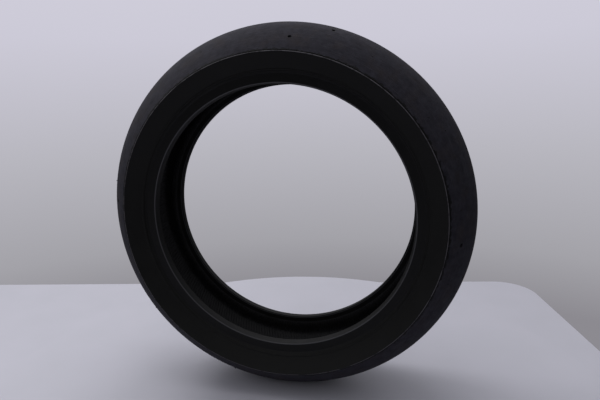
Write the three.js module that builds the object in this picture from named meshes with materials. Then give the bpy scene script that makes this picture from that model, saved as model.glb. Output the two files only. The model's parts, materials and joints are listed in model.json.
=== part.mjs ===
// A worn 160/60 R17 rear motorcycle tire, built as its separate rubber, fabric and wire rings.
// Units are millimetres. The origin is the tire's centre, +Y is the axle line and +Z is up.
// Every ring is a profile of (y, r) points, y along the axle and r from it, turned once round Y.
import * as THREE from 'three';

// Driving dimensions.
const SEGMENTS = 32;               // facets round the tire, the same for every ring
const OUTER_RADIUS = 312;          // top of the worn crown
const EDGE_RADIUS = 262;           // tread edge, where the tread meets the sidewall
const HALF_WIDTH = 78.5;           // half the width over the tread edges
const CROWN_POWER = 2.16;          // how round the crown is: 2 would be a parabola
const WORN_FLAT = 9;               // half the width of the strip that riding has worn flat
const COMPOUND_SPLIT = 35;         // half the width of the harder centre compound
const FLANGE_HALF_WIDTH = 57.15;   // half a 4.50 inch rim, where each bead meets its flange
const FLANGE_FACE = [221, 231];    // inner and outer radius of the flat flange face
const HEEL_RADIUS = 217.2;         // bead seat, just under a 17 inch rim's 218.3
const TOE = [43.55, 216.3];        // inner edge of the bead seat, which tapers by 5 degrees
const CARCASS_FOOT = 47.25;        // where the carcass line runs straight down beside the core
const GAP = 0.3;                   // clearance between neighbouring layers

// Layer thicknesses, from the outside in.
const CAP = 5.5;
const BASE = 1.4;
const BELT = 1.2;
const PLY = 0.9;
const LINER = 1.2;
const CHAFER = 1.3;

// Offsets of each layer's outer face from the carcass line, outward positive.
const BELT_AT = GAP + BELT;
const BASE_AT = BELT_AT + GAP + BASE;
const CAP_INNER_AT = BASE_AT + GAP;
const CROWN_AT = CAP_INNER_AT + CAP;
const INNER_PLY_AT = -(PLY + GAP);
const LINER_AT = INNER_PLY_AT - (PLY + GAP);

// Bead, seen in section: the wire core with the wrap, filler and plies round it.
const CORE = { y: 50.95, r: 224.1, halfWidth: 2.5, halfHeight: 2.8 };
const WRAP = 0.6;
const FILLER_TIP = 245.4;          // radius where the bead filler ends in a wedge
const FILLER_FOOT = CORE.r + CORE.halfHeight + 2 * GAP;
const TURN_UP_END = 251;           // radius where the turned-up ply stops on the sidewall
const SIDEWALL_FOOT = 233.6;       // radius where the sidewall rubber meets the chafer
const CHAFER_TOE_END = 226;        // radius where the chafer meets the liner, inside
const BELT_END = 268;              // radius where the belt stops at the shoulder

function crownRadius(y) {
  if (Math.abs(y) <= WORN_FLAT) return OUTER_RADIUS;
  const drop = Math.abs(y / HALF_WIDTH) ** CROWN_POWER;
  return EDGE_RADIUS + (OUTER_RADIUS - EDGE_RADIUS) * (1 - drop);
}

// The point of the crown at y, moved inward along the surface normal by a depth.
function underCrown(y, depth) {
  const step = 0.01;
  const slope = (crownRadius(y + step) - crownRadius(y - step)) / (2 * step);
  const length = Math.hypot(slope, 1);
  return [y + (depth * slope) / length, crownRadius(y) - depth / length];
}

// Moves a polyline sideways by a distance and keeps its corners mitred. Positive is outward
// for a line that runs from the crown to the bead on the +Y side.
function offset(line, distance) {
  const normals = [];
  for (let i = 0; i + 1 < line.length; i += 1) {
    const [dy, dr] = [line[i + 1][0] - line[i][0], line[i + 1][1] - line[i][1]];
    const length = Math.hypot(dy, dr);
    normals.push([-dr / length, dy / length]);
  }
  return line.map(([y, r], i) => {
    const before = normals[Math.max(i - 1, 0)];
    const after = normals[Math.min(i, normals.length - 1)];
    const sum = [before[0] + after[0], before[1] + after[1]];
    const reach = (2 * distance) / (sum[0] ** 2 + sum[1] ** 2);
    return [y + sum[0] * reach, r + sum[1] * reach];
  });
}

// The point where a line, falling from the crown to the bead, crosses a radius.
function crossing(line, radius) {
  const i = line.findIndex((point, k) => k > 0 && point[1] <= radius);
  const [from, to] = [line[i - 1], line[i]];
  const share = (from[1] - radius) / (from[1] - to[1]);
  return [from[0] + (to[0] - from[0]) * share, radius];
}

// The stretch of a falling line between two radii. An infinite top keeps the crown's centre.
function stretch(line, top, foot) {
  const inside = line.filter((point) => point[1] < top - 0.01 && point[1] > foot + 0.01);
  const start = top === Infinity ? [] : [crossing(line, top)];
  return [...start, ...inside, crossing(line, foot)];
}

// The carcass line on the +Y side, which is the outer face of the outer ply: under the crown
// it keeps a constant depth, then it rounds the shoulder and runs down beside the bead core.
const carcass = [
  [0, OUTER_RADIUS - CROWN_AT],
  underCrown(26, CROWN_AT),
  underCrown(46, CROWN_AT),
  [59.4, 272.6],
  [68.3, 261],
  [61.6, 247.6],
  [50.3, 235],
  [CARCASS_FOOT, 228],
  [CARCASS_FOOT, 220],
];

function mirror(line) {
  return line.map(([y, r]) => [-y, r]);
}

// A layer from bead side to bead side, as one closed profile.
function bothSides(outer, inner) {
  return [
    ...mirror(outer).reverse(),
    ...outer.slice(1),
    ...[...inner].reverse(),
    ...mirror(inner).slice(1),
  ];
}

function layer(outerAt, innerAt, foot) {
  const outer = stretch(offset(carcass, outerAt), Infinity, foot);
  const inner = stretch(offset(carcass, innerAt), Infinity, foot);
  return bothSides(centred(outer, outerAt), centred(inner, innerAt));
}

// Puts a line's first point exactly under the crown's centre.
function centred(line, at) {
  return [[0, carcass[0][1] + at], ...line.slice(1)];
}

// Crown profiles.
function crownLine(from, to, steps) {
  return Array.from({ length: steps + 1 }, (_, i) => {
    const y = from + ((to - from) * i) / steps;
    return [y, crownRadius(y)];
  });
}

const capInner = centred(offset(carcass, CAP_INNER_AT), CAP_INNER_AT);

// The point of the tread cap's inner face at y.
function capInnerAt(y) {
  const i = capInner.findIndex((point) => point[0] >= y);
  const [from, to] = [capInner[i - 1], capInner[i]];
  return [y, from[1] + ((to[1] - from[1]) * (y - from[0])) / (to[0] - from[0])];
}

function centreTread() {
  const outer = crownLine(WORN_FLAT, COMPOUND_SPLIT - GAP / 2, 2);
  const edge = capInnerAt(COMPOUND_SPLIT - GAP / 2);
  const inner = [capInner[0], capInner[1], edge];
  return [
    ...mirror(outer).reverse(),
    ...outer,
    ...[...inner].reverse(),
    ...mirror(inner).slice(1),
  ];
}

function shoulderTread() {
  const outer = crownLine(COMPOUND_SPLIT + GAP / 2, HALF_WIDTH, 4);
  const start = capInnerAt(COMPOUND_SPLIT + GAP / 2);
  const inner = stretch(capInner, start[1], EDGE_RADIUS);
  return [...outer, ...inner.reverse()];
}

function beltEdgeCushion() {
  const top = BELT_END - GAP;
  const foot = EDGE_RADIUS + GAP;
  const outer = stretch(offset(carcass, BELT_AT), top, foot);
  const inner = stretch(offset(carcass, GAP), top, foot);
  return [...outer, ...inner.reverse()];
}

// The inner ply turns round the bead core and back up outside the filler. This is the face
// of the turned-up part that looks at the core, from under the core to its end.
const besideCore = CORE.halfWidth + 2 * GAP + WRAP;
const carcassFoot = stretch(offset(carcass, GAP), TURN_UP_END, 240).slice(0, 2);
const turnUp = [
  ...carcassFoot,
  [57.2, 238.6],
  [54.65, 232.4],
  [CORE.y + besideCore, 221],
];

const underCore = CORE.r - CORE.halfHeight - 2 * GAP - WRAP;
const PLY_CORNER = 0.9;            // how far the ply's turn cuts the corners of the wrap

function innerPly() {
  const coreSide = [
    ...stretch(offset(carcass, INNER_PLY_AT), Infinity, underCore + PLY_CORNER),
    [CARCASS_FOOT + INNER_PLY_AT + PLY_CORNER, underCore],
    [CORE.y + besideCore - PLY_CORNER, underCore],
    ...[...turnUp].reverse(),
  ];
  const airSide = offset(coreSide, -PLY);
  return bothSides(centred(coreSide, INNER_PLY_AT), centred(airSide, INNER_PLY_AT - PLY));
}

function outerPly() {
  return layer(0, -PLY, CORE.r - CORE.halfHeight);
}

// Sidewall rubber: a flat slope from the tread edge to the rim-centring ring, then the foot.
function sidewall() {
  const top = EDGE_RADIUS - GAP;
  const overPly = offset(turnUp, PLY + GAP);
  const ring = [[61.9, 238.6], [61.5, 236.4], [59.8, 235.1], [58.4, SIDEWALL_FOOT]];
  const outer = [[HALF_WIDTH, top], [69, 249], ...ring];
  const overTurnUp = [...stretch(overPly, Infinity, SIDEWALL_FOOT)].reverse();
  const pastTurnUp = TURN_UP_END + 2 * GAP;
  const beside = stretch(offset(carcass, GAP), top, pastTurnUp).reverse();
  return [...outer, ...overTurnUp, ...beside];
}

// Chafer: the flange face, the rounded heel, the tapered seat, the toe and the flap inside.
function chafer() {
  const top = SIDEWALL_FOOT - GAP;
  const heel = FLANGE_FACE[0] - HEEL_RADIUS;
  const overPly = offset(turnUp, PLY + GAP);
  const flapInner = CARCASS_FOOT + LINER_AT;
  const floor = underCore - PLY - GAP;
  return [
    [58.2, top],
    [FLANGE_HALF_WIDTH, FLANGE_FACE[1]],
    [FLANGE_HALF_WIDTH, FLANGE_FACE[0]],
    [FLANGE_HALF_WIDTH - heel * 0.3, HEEL_RADIUS + heel * 0.3],
    [FLANGE_HALF_WIDTH - heel, HEEL_RADIUS],
    [TOE[0] + 1, TOE[1]],
    [TOE[0], TOE[1] + 1],
    [TOE[0], CHAFER_TOE_END],
    [flapInner, CHAFER_TOE_END],
    [flapInner, floor + PLY_CORNER],
    [flapInner + PLY_CORNER, floor],
    [FLANGE_HALF_WIDTH - CHAFER - PLY_CORNER, floor],
    [FLANGE_HALF_WIDTH - CHAFER, floor + PLY_CORNER],
    crossing(overPly, top),
  ];
}

// Hexagonal bundle of hoop wires.
function beadCore() {
  const { y, r, halfWidth, halfHeight } = CORE;
  return [
    [y + halfWidth, r],
    [y + halfWidth / 2, r - halfHeight],
    [y - halfWidth / 2, r - halfHeight],
    [y - halfWidth, r],
    [y - halfWidth / 2, r + halfHeight],
    [y + halfWidth / 2, r + halfHeight],
  ];
}

// Fabric wrap: a channel under the core and up both its sides, open toward the filler.
function beadWrap() {
  const inside = CORE.halfWidth + GAP;
  const outside = inside + WRAP;
  const floor = CORE.r - CORE.halfHeight - GAP;
  const top = FILLER_FOOT - GAP;
  return [
    [CORE.y + outside, top],
    [CORE.y + outside, floor - WRAP + PLY_CORNER],
    [CORE.y + outside - PLY_CORNER, floor - WRAP],
    [CORE.y - outside + PLY_CORNER, floor - WRAP],
    [CORE.y - outside, floor - WRAP + PLY_CORNER],
    [CORE.y - outside, top],
    [CORE.y - inside, top],
    [CORE.y - inside, floor + PLY_CORNER],
    [CORE.y - inside + PLY_CORNER, floor],
    [CORE.y + inside - PLY_CORNER, floor],
    [CORE.y + inside, floor + PLY_CORNER],
    [CORE.y + inside, top],
  ];
}

// Hard rubber wedge on top of the core, between the carcass and the turned-up ply.
function beadFiller() {
  const carcassSide = stretch(offset(carcass, GAP), FILLER_TIP, FILLER_FOOT);
  const turnUpSide = stretch(offset(turnUp, -GAP), FILLER_TIP, FILLER_FOOT);
  return [...turnUpSide, ...carcassSide.reverse()];
}

// Turns a closed (y, r) profile once round the axle. The profile is put in the winding that
// makes the faces point out.
function ring(name, profile, material) {
  const area = profile.reduce((sum, [y, r], i) => {
    const [nextY, nextR] = profile[(i + 1) % profile.length];
    return sum + r * nextY - nextR * y;
  }, 0);
  const ordered = area > 0 ? profile : [...profile].reverse();
  const points = [...ordered, ordered[0]].map(([y, r]) => new THREE.Vector2(r, y));
  const mesh = new THREE.Mesh(new THREE.LatheGeometry(points, SEGMENTS), material);
  mesh.name = name;
  return mesh;
}

function rubber(colour, roughness) {
  return new THREE.MeshStandardMaterial({ color: colour, roughness, metalness: 0 });
}

const tire = new THREE.Group();

tire.add(
  ring('tread_center', centreTread(), rubber(0x3a393b, 0.92)),
  ring('tread_base', layer(BASE_AT, BASE_AT - BASE, EDGE_RADIUS), rubber(0x1c1c1d, 0.8)),
  ring('zero_degree_belt', layer(BELT_AT, GAP, BELT_END), rubber(0x6b5a3c, 0.7)),
  ring('carcass_ply_outer', outerPly(), rubber(0x5b5650, 0.85)),
  ring('carcass_ply_inner', innerPly(), rubber(0x4d4944, 0.85)),
  ring('inner_liner', layer(LINER_AT, LINER_AT - LINER, CHAFER_TOE_END + GAP), rubber(0x0b0b0c, 0.55)),
);

for (const side of ['left', 'right']) {
  const place = (profile) => (side === 'left' ? profile : mirror(profile));
  tire.add(
    ring(`tread_${side}_shoulder`, place(shoulderTread()), rubber(0x343335, 0.9)),
    ring(`${side}_belt_edge_cushion`, place(beltEdgeCushion()), rubber(0x262223, 0.8)),
    ring(`${side}_sidewall`, place(sidewall()), rubber(0x131314, 0.6)),
    ring(`${side}_chafer`, place(chafer()), rubber(0x18181a, 0.5)),
    ring(`${side}_bead_filler`, place(beadFiller()), rubber(0x202022, 0.7)),
    ring(`${side}_bead_wrap`, place(beadWrap()), rubber(0x6e6a62, 0.9)),
    ring(`${side}_bead_core`, place(beadCore()), new THREE.MeshStandardMaterial({
      color: 0x9a7b4c, roughness: 0.35, metalness: 0.9,
    })),
  );
}

export default tire;
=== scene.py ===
# %% [markdown]
# # A worn rear motorcycle tire
# A motorcycle tire is a stack of rings, vulcanised into one: rubber outside, cords and wire
# hoops inside. Each ring is made here as its own piece, so that the tire comes apart in the
# scene as it would in a factory.
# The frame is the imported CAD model, in metres. Y is the axle line, Z is up and the tire's
# centre is the origin. Every size below comes from that frame or is named beside its piece.

# %% Load the frame
import json
import math

import bmesh
import bpy
import numpy as np
from mathutils import Matrix, Vector


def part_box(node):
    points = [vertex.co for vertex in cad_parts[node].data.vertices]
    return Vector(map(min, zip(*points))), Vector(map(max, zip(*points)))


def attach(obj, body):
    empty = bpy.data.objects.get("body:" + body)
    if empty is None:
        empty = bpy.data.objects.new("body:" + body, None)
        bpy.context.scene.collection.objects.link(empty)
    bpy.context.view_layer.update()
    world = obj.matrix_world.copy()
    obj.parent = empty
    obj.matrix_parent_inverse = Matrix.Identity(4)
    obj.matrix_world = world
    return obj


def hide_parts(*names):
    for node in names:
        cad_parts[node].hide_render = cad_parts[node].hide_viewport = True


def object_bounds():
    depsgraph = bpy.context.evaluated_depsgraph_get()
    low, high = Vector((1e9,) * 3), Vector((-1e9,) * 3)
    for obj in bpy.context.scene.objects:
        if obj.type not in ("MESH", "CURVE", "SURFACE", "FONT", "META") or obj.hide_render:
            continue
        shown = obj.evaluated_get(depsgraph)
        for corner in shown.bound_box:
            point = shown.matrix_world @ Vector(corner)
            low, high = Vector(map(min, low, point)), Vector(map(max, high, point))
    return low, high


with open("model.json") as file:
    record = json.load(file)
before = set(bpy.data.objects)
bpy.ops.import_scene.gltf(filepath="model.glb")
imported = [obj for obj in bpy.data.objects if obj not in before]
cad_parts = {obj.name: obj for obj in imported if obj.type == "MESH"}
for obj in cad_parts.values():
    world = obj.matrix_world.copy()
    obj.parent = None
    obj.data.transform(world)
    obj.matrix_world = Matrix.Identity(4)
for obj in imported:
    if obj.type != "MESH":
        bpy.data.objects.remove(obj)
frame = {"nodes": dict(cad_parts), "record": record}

cad_box = [list(corner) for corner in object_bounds()]
MM = 0.001
print("frame:", len(frame["nodes"]), "nodes, box", cad_box)

# %% [markdown]
# ## Sizes read from the frame
# The rings are all turned round the axle, so two numbers place each of them: a distance
# along the axle, y, and a distance from it, r. Outlines are written in millimetres, as a
# tire drawing is, and they are scaled to metres when a ring is turned.

# %% Read the driving sizes
def radii(name):
    """Smallest and largest distance of a CAD node's points from the axle, in millimetres."""
    reach = [math.hypot(v.co.x, v.co.z) / MM for v in frame["nodes"][name].data.vertices]
    return min(reach), max(reach)


CROWN = radii("tread_center")[1]
EDGE = radii("left_sidewall")[1] + 0.3
HALF_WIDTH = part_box("left_sidewall")[1].y / MM
FLANGE = frame["record"]["mounts"][0]["pos_m"][1] / MM
TOE_RADIUS = radii("left_chafer")[0]
CORE_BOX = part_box("left_bead_core")
CORE_Y = (CORE_BOX[0].y + CORE_BOX[1].y) / 2 / MM
CORE_R = sum(radii("left_bead_core")) / 2
CORE_HALF_WIDTH, CORE_HALF_HEIGHT = 2.5, 2.8
CROWN_POWER = 2.16                   # how round the crown is: 2 would be a parabola
print("crown", round(CROWN, 1), "edge", round(EDGE, 1), "half width", round(HALF_WIDTH, 1))

# %% [markdown]
# ## Tools for outlines
# An outline only has the points that its shape needs. Round stretches come from a formula,
# the crown, or from arcs that round off the corners of a polygon. `shifted` moves a line
# sideways by a layer's thickness, which is how a tire drawing builds layer on layer.

# %% Crown formula
def crown_radius(y):
    """Radius of the tread surface at a distance y from the centre line."""
    return EDGE + (CROWN - EDGE) * (1 - abs(y / HALF_WIDTH) ** CROWN_POWER)


def under_crown(y, depth):
    """The point at a depth below the tread surface at y, along the surface normal."""
    slope = (crown_radius(y + 0.01) - crown_radius(y - 0.01)) / 0.02
    length = math.hypot(slope, 1)
    return (y + depth * slope / length, crown_radius(y) - depth / length)

# %% Rounding, shifting and cutting outlines
def rounded(corners, steps=6):
    """A line whose corners (y, r, radius) are turned by arcs. Radius 0 keeps one sharp."""
    line = []
    for i, (y, r, radius) in enumerate(corners):
        here = Vector((y, r))
        if radius == 0 or i in (0, len(corners) - 1):
            line.append((y, r))
            continue
        back = Vector(corners[i - 1][:2]) - here
        ahead = Vector(corners[i + 1][:2]) - here
        half = back.angle(ahead) / 2
        reach = min(radius / math.tan(half), back.length * 0.48, ahead.length * 0.48)
        start = here + back.normalized() * reach
        end = here + ahead.normalized() * reach
        for k in range(steps + 1):
            t = k / steps
            bend = start * (1 - t) ** 2 + here * 2 * t * (1 - t) + end * t ** 2
            line.append((bend.x, bend.y))
    return line


def shifted(line, distance):
    """The line moved sideways: outward for a line that falls from crown to bead on +Y."""
    points = [Vector(p) for p in line]
    normals = []
    for a, b in zip(points, points[1:]):
        run = (b - a).normalized()
        normals.append(Vector((-run.y, run.x)))
    moved = []
    for i, p in enumerate(points):
        both = normals[max(i - 1, 0)] + normals[min(i, len(normals) - 1)]
        q = p + both * (2 * distance / both.length_squared)
        moved.append((q.x, q.y))
    return moved


def crossing(line, radius):
    """The point where a falling line passes a radius."""
    for a, b in zip(line, line[1:]):
        if a[1] >= radius >= b[1] and a[1] > b[1]:
            share = (a[1] - radius) / (a[1] - b[1])
            return (a[0] + (b[0] - a[0]) * share, radius)
    raise ValueError(f"the line doesn't reach radius {radius}")


def stretch(line, top, foot):
    """The part of a falling line between two radii. top None keeps it from the centre."""
    ceiling = 1e9 if top is None else top
    inside = [p for p in line if foot + 0.01 < p[1] < ceiling - 0.01]
    start = [] if top is None else [crossing(line, top)]
    return start + inside + [crossing(line, foot)]


def fine(line, step):
    """The same line with no stretch longer than a step."""
    points = [line[0]]
    for a, b in zip(line, line[1:]):
        count = max(1, math.ceil(math.dist(a, b) / step))
        points += [(a[0] + (b[0] - a[0]) * k / count, a[1] + (b[1] - a[1]) * k / count)
                   for k in range(1, count + 1)]
    return points


def thin(line, slack):
    """The same line with the points dropped that lie within a slack of a straight run."""
    kept, start = [line[0]], 0
    for end in range(2, len(line)):
        a, run = Vector(line[start]), Vector(line[end]) - Vector(line[start])
        off = max(abs(run.normalized().cross(Vector(p) - a)) for p in line[start + 1:end])
        if off > slack:
            start = end - 1
            kept.append(line[start])
    return kept + [line[-1]]


def mirrored(line):
    """The line on the other side of the tire."""
    return [(-y, r) for y, r in line]

# %% [markdown]
# ## The carcass line
# A tire is drawn round one line, the outer face of its cord carcass. It lies a constant
# depth under the crown, rounds the shoulder, narrows down the sidewall and drops straight
# past the bead core. The layers above and below are this line, shifted.

# %% Draw the carcass line
CAP, BASE, BELT, PLY, LINER, GAP = 5.5, 1.4, 1.2, 0.9, 1.2, 0.3
BELT_AT = GAP + BELT
BASE_AT = BELT_AT + GAP + BASE
CAP_INNER_AT = BASE_AT + GAP
CROWN_AT = CAP_INNER_AT + CAP
LINER_AT = -2 * (PLY + GAP)
CARCASS_FOOT = 47.25

carcass = [under_crown(y, CROWN_AT) for y in np.linspace(0, 44, 15)]
carcass += rounded([
    (*under_crown(46, CROWN_AT), 0),
    (59.4, 272.6, 40),
    (68.3, 261, 11),
    (61.6, 247.6, 30),
    (50.3, 235, 22),
    (CARCASS_FOOT, 228, 12),
    (CARCASS_FOOT, 214, 0),
], steps=8)
print("carcass line:", len(carcass), "points a side")


def both_sides(outer, inner):
    """A closed outline from bead side to bead side. Both lines start on the centre line."""
    return mirrored(outer)[::-1] + outer[1:] + inner[::-1] + mirrored(inner)[1:]


def layer(outer_at, inner_at, foot, step=3.0):
    """The closed outline of a layer between two shifts of the carcass line."""
    outer = fine(thin(stretch(shifted(carcass, outer_at), None, foot), 0.03), step)
    inner = fine(thin(stretch(shifted(carcass, inner_at), None, foot), 0.03), step)
    outer[0] = (0, carcass[0][1] + outer_at)
    inner[0] = (0, carcass[0][1] + inner_at)
    return both_sides(outer, inner)

# %% [markdown]
# ## Nodes
# One function adds a node and sets its properties, and another fills a node's inputs, each
# with a value or with what feeds it. The shapes and the finishes below are built with
# them. Every tree for a shape starts with its named inputs, and ends by making its copies
# real and giving them their material.

# %% Add a node
def feed(tree, node, inputs):
    """Fills a node's inputs, by name or number, each with a value or with what feeds it.
    A node given as a value stands for its first output that is in use."""
    for key, value in dict(inputs).items():
        if isinstance(value, bpy.types.Node):
            value = next(socket for socket in value.outputs if socket.enabled)
        if isinstance(value, bpy.types.NodeSocket):
            tree.links.new(value, node.inputs[key])
        else:
            node.inputs[key].default_value = value


def add(tree, kind, inputs=(), **settings):
    """Adds a node, sets its properties and fills its inputs."""
    made = tree.nodes.new(kind)
    for name, value in settings.items():
        setattr(made, name, value)
    feed(tree, made, inputs)
    return made


def linear(code, alpha=1.0):
    """An sRGB hex colour such as 1a1a1b as the linear colour that a shader works in."""
    parts = [int(code[k:k + 2], 16) / 255 for k in (0, 2, 4)]
    light = [c / 12.92 if c <= 0.04045 else ((c + 0.055) / 1.055) ** 2.4 for c in parts]
    return (*light, alpha)

# %% Start and end a Geometry Nodes tree
def start_tree(name, output, *inputs):
    """A modifier tree with named inputs, (name, kind) each. Gives their outputs too."""
    tree = bpy.data.node_groups.new(name, "GeometryNodeTree")
    tree.is_modifier = True
    for label, kind in (*inputs, ("Finish", "Material")):
        tree.interface.new_socket(label, in_out="INPUT", socket_type="NodeSocket" + kind)
    tree.interface.new_socket(output, in_out="OUTPUT", socket_type="NodeSocketGeometry")
    return tree, add(tree, "NodeGroupInput").outputs


def end_tree(tree, shape, given):
    """Makes copies real, gives the shape its material and sends it out."""
    real = add(tree, "GeometryNodeRealizeInstances", {"Geometry": shape})
    done = add(tree, "GeometryNodeSetMaterial", {"Geometry": real,
                                                 "Material": given["Finish"]})
    add(tree, "NodeGroupOutput", {0: done})
    return tree

# %% [markdown]
# ## Patterns that follow the tire
# Wear, dirt and cords run round the tire or across it. Object coordinates are enough to say
# where a point is: its direction from the axle, as a unit vector, and its place along the
# axle. Scaling the two apart stretches a noise into streaks that close on themselves with
# no seam. The same step works in a shader and in Geometry Nodes.

# %% A vector that runs round the axle
def round_the_axle(tree, position, around, along):
    """A texture vector with `around` features per radian and `along` per metre of axle."""
    flat = add(tree, "ShaderNodeVectorMath", {0: position, 1: (1, 0, 1)}, operation="MULTIPLY")
    unit = add(tree, "ShaderNodeVectorMath", {0: flat}, operation="NORMALIZE")
    scaled = add(tree, "ShaderNodeVectorMath", {0: unit, "Scale": around}, operation="SCALE")
    axle = add(tree, "ShaderNodeVectorMath", {0: position, 1: (0, along, 0)},
               operation="MULTIPLY")
    return add(tree, "ShaderNodeVectorMath", {0: scaled, 1: axle}, operation="ADD")


def from_axle(tree, position):
    """The distance of a place from the axle."""
    flat = add(tree, "ShaderNodeVectorMath", {0: position, 1: (1, 0, 1)}, operation="MULTIPLY")
    return add(tree, "ShaderNodeVectorMath", {0: flat}, operation="LENGTH")


def angle_of(tree, number, count):
    """The angle of a numbered step, with count steps to the turn."""
    share = add(tree, "ShaderNodeMath", {0: number, 1: count}, operation="DIVIDE")
    return add(tree, "ShaderNodeMath", {0: share, 1: math.tau}, operation="MULTIPLY")


def at_angle(tree, radius, axle, angle):
    """The place at a radius and at y on the axle, turned to an angle."""
    sine = add(tree, "ShaderNodeMath", {0: angle}, operation="SINE")
    cosine = add(tree, "ShaderNodeMath", {0: angle}, operation="COSINE")
    x = add(tree, "ShaderNodeMath", {0: radius, 1: sine}, operation="MULTIPLY")
    z = add(tree, "ShaderNodeMath", {0: radius, 1: cosine}, operation="MULTIPLY")
    return add(tree, "ShaderNodeCombineXYZ", {"X": x, "Y": axle, "Z": z})

# %% [markdown]
# ## Turning a ring
# Geometry Nodes turn every ring. The modifier's own mesh is the outline: a loose row of
# points, each with three marks. `relief` says how much the surface's roughness moves it,
# `lip` that it is part of the mould flash, and `from_edge` how far it is from the tread
# edge. The tree lays a grid, sends each grid point to its outline point and turns it to
# its angle, then merges the two seams. Last it roughens the surface, and works out `worn`,
# the ragged limit between scrubbed and untouched rubber, which the finish reads too.

# %% Turn an outline on a grid
def turned_outline(tree, given, place):
    """The outline's points laid on a grid and turned, the seams merged, and its marks."""
    # A grid with one extra row and one extra column, which close the seams.
    size = add(tree, "GeometryNodeAttributeDomainSize", {0: given["Outline"]})
    count = size.outputs["Point Count"]
    rows = add(tree, "ShaderNodeMath", {0: count, 1: 1.0}, operation="ADD")
    columns = add(tree, "ShaderNodeMath", {0: given["Facets"], 1: 1.0}, operation="ADD")
    grid = add(tree, "GeometryNodeMeshGrid", {"Vertices X": columns, "Vertices Y": rows})
    index = add(tree, "GeometryNodeInputIndex")
    centre = add(tree, "ShaderNodeMath", {0: index, 1: 0.5}, operation="ADD")
    ratio = add(tree, "ShaderNodeMath", {0: centre, 1: rows}, operation="DIVIDE")
    column = add(tree, "ShaderNodeMath", {0: ratio}, operation="FLOOR")
    before = add(tree, "ShaderNodeMath", {0: column, 1: rows}, operation="MULTIPLY")
    row = add(tree, "ShaderNodeMath", {0: index, 1: before}, operation="SUBTRACT")
    point = add(tree, "ShaderNodeMath", {0: row, 1: count}, operation="MODULO")
    turn = add(tree, "ShaderNodeMath", {0: column, 1: given["Facets"]}, operation="MODULO")

    # Each grid point takes its place from the outline, turned to its own angle.
    taken = add(tree, "GeometryNodeSampleIndex", {"Geometry": given["Outline"],
                "Value": place, "Index": point}, data_type="FLOAT_VECTOR")
    parts = add(tree, "ShaderNodeSeparateXYZ", {0: taken}).outputs
    turned = at_angle(tree, parts["X"], parts["Y"], angle_of(tree, turn, given["Facets"]))
    shape = add(tree, "GeometryNodeSetPosition", {"Geometry": grid, "Position": turned})
    marks = {mark: add(tree, "GeometryNodeInputNamedAttribute", {"Name": mark},
                       data_type="FLOAT") for mark in ("relief", "lip", "from_edge")}
    for mark, field in marks.items():
        value = add(tree, "GeometryNodeSampleIndex", {"Geometry": given["Outline"],
                    "Value": field, "Index": point}, data_type="FLOAT")
        shape = add(tree, "GeometryNodeStoreNamedAttribute", {"Geometry": shape,
                    "Name": mark, "Value": value}, data_type="FLOAT", domain="POINT")
    merged = add(tree, "GeometryNodeMergeByDistance", {"Geometry": shape,
                                                       "Distance": 0.00001})
    return merged, marks


# %% Wear and roughen the surface
def roughened(tree, shape, given, marks, place):
    """The shape with its `worn` mark, its relief and an uneven lip."""
    # The limit of wear wanders along the edge, in bites of about 8 mm and 2 mm.
    bites = add(tree, "ShaderNodeTexNoise", {"Vector": round_the_axle(tree, place, 33, 25),
                "Scale": 1.0, "Detail": 4.0, "Roughness": 0.7})
    swing = add(tree, "ShaderNodeMath", {0: bites, 1: 0.5}, operation="SUBTRACT")
    wander = add(tree, "ShaderNodeMath", {0: swing, 1: given["Raggedness"],
                                          2: marks["from_edge"]}, operation="MULTIPLY_ADD")
    over = add(tree, "ShaderNodeMath", {0: wander, 1: given["Wear limit"]},
               operation="SUBTRACT")
    worn = add(tree, "ShaderNodeMapRange", {"Value": over, "From Min": -0.0002,
               "From Max": 0.0004}, interpolation_type="SMOOTHSTEP")
    shape = add(tree, "GeometryNodeStoreNamedAttribute", {"Geometry": shape, "Name": "worn",
                "Value": worn}, data_type="FLOAT", domain="POINT")

    # Relief moves points along the normal. The lip has its own, coarser unevenness.
    scale = add(tree, "ShaderNodeMath", {0: 1.0, 1: given["Relief size"]},
                operation="DIVIDE")
    grain = add(tree, "ShaderNodeTexNoise", {"Vector": place, "Scale": scale, "Detail": 3.0,
                                             "Roughness": 0.6})
    lift = add(tree, "ShaderNodeMath", {0: grain, 1: 0.5}, operation="SUBTRACT")
    depth = add(tree, "ShaderNodeMath", {0: given["Relief depth"], 1: marks["relief"]},
                operation="MULTIPLY")
    relief = add(tree, "ShaderNodeMath", {0: lift, 1: depth}, operation="MULTIPLY")
    flash = add(tree, "ShaderNodeMath", {0: swing, 1: given["Lip height"]},
                operation="MULTIPLY")
    total = add(tree, "ShaderNodeMath", {0: flash, 1: marks["lip"], 2: relief},
                operation="MULTIPLY_ADD")
    normal = add(tree, "GeometryNodeInputNormal")
    offset = add(tree, "ShaderNodeVectorMath", {0: normal, "Scale": total}, operation="SCALE")
    return add(tree, "GeometryNodeSetPosition", {"Geometry": shape, "Offset": offset})


# %% Build the ring tree
def ring_tree():
    """The whole ring: turned, worn and roughened, with edges past 40 degrees kept crisp."""
    tree, given = start_tree(
        "turned_ring", "Ring", ("Outline", "Geometry"), ("Facets", "Int"),
        ("Relief depth", "Float"), ("Relief size", "Float"), ("Lip height", "Float"),
        ("Wear limit", "Float"), ("Raggedness", "Float"))
    place = add(tree, "GeometryNodeInputPosition")
    shape, marks = turned_outline(tree, given, place)
    shape = roughened(tree, shape, given, marks, place)
    smooth = add(tree, "GeometryNodeSetShadeSmooth", {"Geometry": shape,
                 "Shade Smooth": True}, domain="FACE")
    bend = add(tree, "GeometryNodeInputMeshEdgeAngle")
    sharp = add(tree, "FunctionNodeCompare", {0: bend, 1: math.radians(40)},
                data_type="FLOAT", operation="GREATER_THAN")
    crisp = add(tree, "GeometryNodeSetShadeSmooth", {"Geometry": smooth, "Selection": sharp,
                "Shade Smooth": False}, domain="EDGE")
    return end_tree(tree, crisp, given)


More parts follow.
